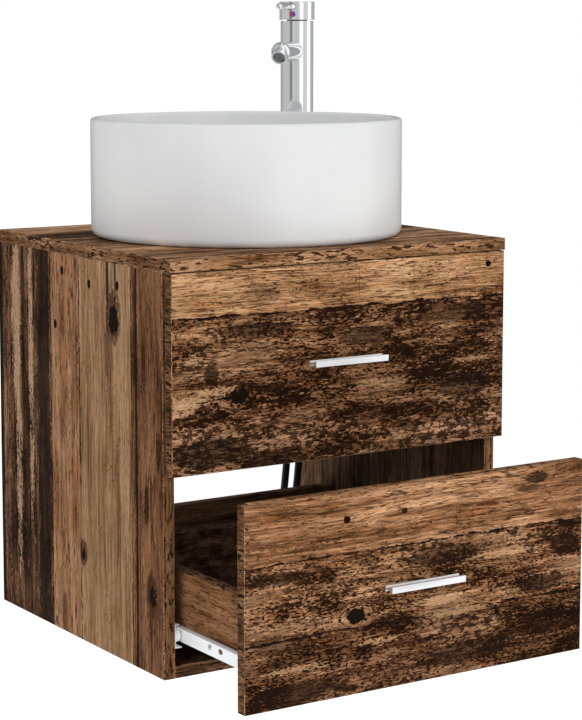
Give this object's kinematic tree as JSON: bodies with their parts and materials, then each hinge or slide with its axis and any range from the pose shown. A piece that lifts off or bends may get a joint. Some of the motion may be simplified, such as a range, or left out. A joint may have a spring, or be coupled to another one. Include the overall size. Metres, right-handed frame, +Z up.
{
  "type": "vessel sink on vanity",
  "caption": "Wall-hung worn-wood vanity with stacked drawers on roller runners, a round white vessel basin, pop-up waste, tall chrome mixer tap and hanging supply hoses.",
  "frame": {"origin": "middle of the hanging rail's back face, where the cabinet meets the wall", "axes": "+Y into the wall, +Z up, +X to the right when facing the drawers"},
  "size_m": [0.49, 0.6278, 0.801],
  "materials": {
    "old_wood": "printed worn-timber film, matt, with dark streaks, knots and nail holes",
    "dark_wood": "the same film in its darkest shade, matt",
    "hardboard": "thin printed board, matt",
    "white_steel": "white epoxy coating, semi-gloss",
    "white_nylon": "moulded, satin",
    "zinc_steel": "zinc plated, satin",
    "anodised_aluminium": "fine brushed and anodised",
    "glazed_ceramic": "gloss white glaze",
    "chrome": "polished",
    "brass": "turned, satin",
    "black_rubber": "smooth, satin",
    "grey_nylon": "moulded, matt",
    "indicator_enamel": "one half red and one half blue, gloss"
  },
  "bodies": {
    "cabinet": {"side_panel_left": "old_wood", "side_panel_right": "old_wood", "bottom_panel": "old_wood", "countertop": "old_wood", "hanging_rail": "dark_wood", "lower_rail": "dark_wood", "wall_bracket_left": "zinc_steel", "wall_bracket_right": "zinc_steel", "lower_drawer_channel_left": "white_steel", "lower_drawer_channel_right": "white_steel", "upper_drawer_channel_left": "white_steel", "upper_drawer_channel_right": "white_steel", "basin": "glazed_ceramic", "waste_body": "chrome", "waste_seal": "black_rubber", "waste_nut": "brass", "tap_body": "chrome", "tap_aerator": "chrome", "tap_cartridge": "grey_nylon", "tap_shank": "brass", "tap_backnut": "brass", "hot_hose": "black_rubber", "cold_hose": "black_rubber", "hot_hose_nut": "zinc_steel", "cold_hose_nut": "zinc_steel"},
    "lower_drawer": {"lower_drawer_front": "old_wood", "lower_drawer_side_left": "old_wood", "lower_drawer_side_right": "old_wood", "lower_drawer_back": "dark_wood", "lower_drawer_base": "hardboard", "lower_drawer_handle": "anodised_aluminium", "lower_drawer_rail_left": "white_steel", "lower_drawer_rail_right": "white_steel"},
    "upper_drawer": {"upper_drawer_front": "old_wood", "upper_drawer_side_left": "old_wood", "upper_drawer_side_right": "old_wood", "upper_drawer_back_left": "dark_wood", "upper_drawer_back_right": "dark_wood", "upper_drawer_recess_front": "dark_wood", "upper_drawer_recess_left": "dark_wood", "upper_drawer_recess_right": "dark_wood", "upper_drawer_base": "hardboard", "upper_drawer_handle": "anodised_aluminium", "upper_drawer_rail_left": "white_steel", "upper_drawer_rail_right": "white_steel"},
    "waste_plug": {"waste_plug": "chrome"},
    "tap_rotor": {"tap_rotor": "grey_nylon"},
    "tap_handle": {"tap_cap": "chrome", "tap_lever": "chrome", "tap_indicator": "indicator_enamel", "tap_spindle": "zinc_steel"},
    "lower_drawer_front_roller_left": {"lower_drawer_front_roller_left": "white_nylon"},
    "lower_drawer_rear_roller_left": {"lower_drawer_rear_roller_left": "white_nylon"},
    "lower_drawer_front_roller_right": {"lower_drawer_front_roller_right": "white_nylon"},
    "lower_drawer_rear_roller_right": {"lower_drawer_rear_roller_right": "white_nylon"},
    "upper_drawer_front_roller_left": {"upper_drawer_front_roller_left": "white_nylon"},
    "upper_drawer_rear_roller_left": {"upper_drawer_rear_roller_left": "white_nylon"},
    "upper_drawer_front_roller_right": {"upper_drawer_front_roller_right": "white_nylon"},
    "upper_drawer_rear_roller_right": {"upper_drawer_rear_roller_right": "white_nylon"}
  },
  "joints": [
    {"name": "lower_drawer_slide", "type": "slide", "parent": "cabinet", "child": "lower_drawer", "axis": [0, -1, 0], "range_m": [-0.158, 0.102]},
    {"name": "upper_drawer_slide", "type": "slide", "parent": "cabinet", "child": "upper_drawer", "axis": [0, -1, 0], "range_m": [0, 0.26]},
    {"name": "lower_drawer_front_roller_left_spin", "type": "hinge", "parent": "cabinet", "child": "lower_drawer_front_roller_left", "pos_m": [-0.2233, -0.422, -0.3925], "axis": [1, 0, 0], "range_deg": [-960, 620]},
    {"name": "lower_drawer_rear_roller_left_spin", "type": "hinge", "parent": "lower_drawer", "child": "lower_drawer_rear_roller_left", "pos_m": [-0.2233, -0.2587, -0.3958], "axis": [1, 0, 0], "range_deg": [-960, 620]},
    {"name": "lower_drawer_front_roller_right_spin", "type": "hinge", "parent": "cabinet", "child": "lower_drawer_front_roller_right", "pos_m": [0.2233, -0.422, -0.3925], "axis": [1, 0, 0], "range_deg": [-960, 620]},
    {"name": "lower_drawer_rear_roller_right_spin", "type": "hinge", "parent": "lower_drawer", "child": "lower_drawer_rear_roller_right", "pos_m": [0.2233, -0.2587, -0.3958], "axis": [1, 0, 0], "range_deg": [-960, 620]},
    {"name": "upper_drawer_front_roller_left_spin", "type": "hinge", "parent": "cabinet", "child": "upper_drawer_front_roller_left", "pos_m": [-0.2233, -0.422, -0.1507], "axis": [1, 0, 0], "range_deg": [-5, 1575]},
    {"name": "upper_drawer_rear_roller_left_spin", "type": "hinge", "parent": "upper_drawer", "child": "upper_drawer_rear_roller_left", "pos_m": [-0.2233, -0.1007, -0.154], "axis": [1, 0, 0], "range_deg": [-5, 1575]},
    {"name": "upper_drawer_front_roller_right_spin", "type": "hinge", "parent": "cabinet", "child": "upper_drawer_front_roller_right", "pos_m": [0.2233, -0.422, -0.1507], "axis": [1, 0, 0], "range_deg": [-5, 1575]},
    {"name": "upper_drawer_rear_roller_right_spin", "type": "hinge", "parent": "upper_drawer", "child": "upper_drawer_rear_roller_right", "pos_m": [0.2233, -0.1007, -0.154], "axis": [1, 0, 0], "range_deg": [-5, 1575]},
    {"name": "tap_swivel", "type": "hinge", "parent": "cabinet", "child": "tap_rotor", "pos_m": [0.19, -0.056, 0.3315], "axis": [0, 0, 1], "range_deg": [-45, 45]},
    {"name": "tap_lift", "type": "hinge", "parent": "tap_rotor", "child": "tap_handle", "pos_m": [0.19, -0.056, 0.3217], "axis": [-0.669, 0.7433, 0], "range_deg": [0, 18]},
    {"name": "plug_lift", "type": "slide", "parent": "cabinet", "child": "waste_plug", "axis": [0, 0, 1], "range_m": [0, 0.008]}
  ],
  "couplings": [
    {"joint": "lower_drawer_front_roller_left_spin", "follows": "lower_drawer_slide", "rad_per_m": 105.26},
    {"joint": "lower_drawer_rear_roller_left_spin", "follows": "lower_drawer_slide", "rad_per_m": 105.26},
    {"joint": "lower_drawer_front_roller_right_spin", "follows": "lower_drawer_slide", "rad_per_m": 105.26},
    {"joint": "lower_drawer_rear_roller_right_spin", "follows": "lower_drawer_slide", "rad_per_m": 105.26},
    {"joint": "upper_drawer_front_roller_left_spin", "follows": "upper_drawer_slide", "rad_per_m": 105.26},
    {"joint": "upper_drawer_rear_roller_left_spin", "follows": "upper_drawer_slide", "rad_per_m": 105.26},
    {"joint": "upper_drawer_front_roller_right_spin", "follows": "upper_drawer_slide", "rad_per_m": 105.26},
    {"joint": "upper_drawer_rear_roller_right_spin", "follows": "upper_drawer_slide", "rad_per_m": 105.26}
  ]
}
